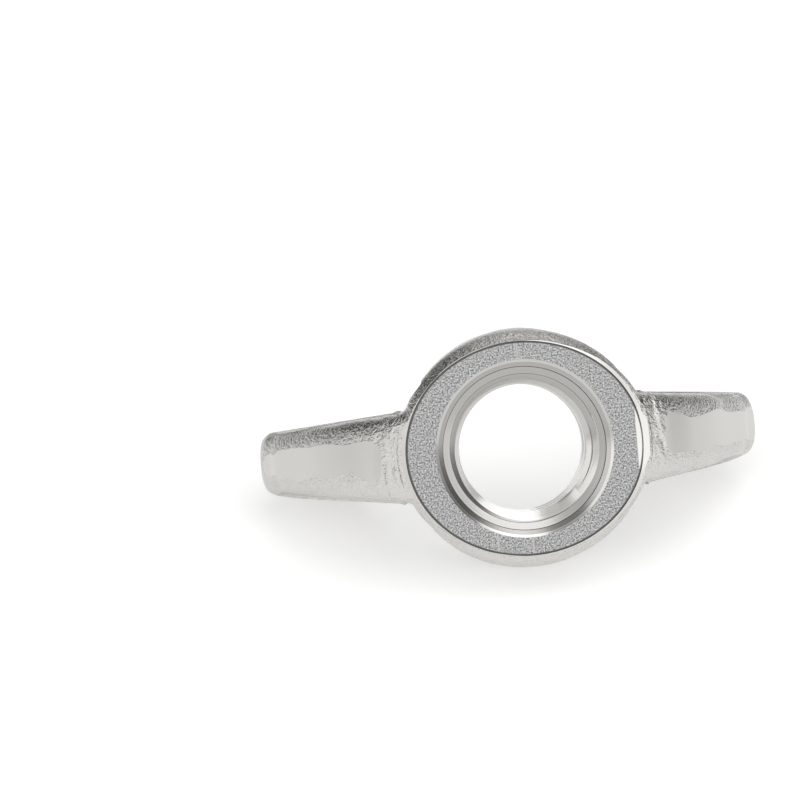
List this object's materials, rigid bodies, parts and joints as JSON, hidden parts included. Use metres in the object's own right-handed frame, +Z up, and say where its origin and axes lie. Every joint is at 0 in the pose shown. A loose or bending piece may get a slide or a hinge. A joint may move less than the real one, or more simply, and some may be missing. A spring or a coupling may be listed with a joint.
{
  "type": "wing nut",
  "caption": "Forged stainless wing nut: a round tapped hub with upright tapering wings, turned by finger and thumb.",
  "frame": {"origin": "on the bore axis, in the flat bearing face at the foot of the hub", "axes": "+Z up the bore axis towards the wing tips, +X along the span through both wings, +Y across the wings' thickness"},
  "size_m": [0.0354, 0.016, 0.0173],
  "materials": {
    "stainless_steel": "cold-forged and tumbled bright stainless steel, lightly pebbled skin, dull grey bearing ring"
  },
  "bodies": {
    "root": {"wing_nut_body": "stainless_steel"}
  },
  "joints": []
}
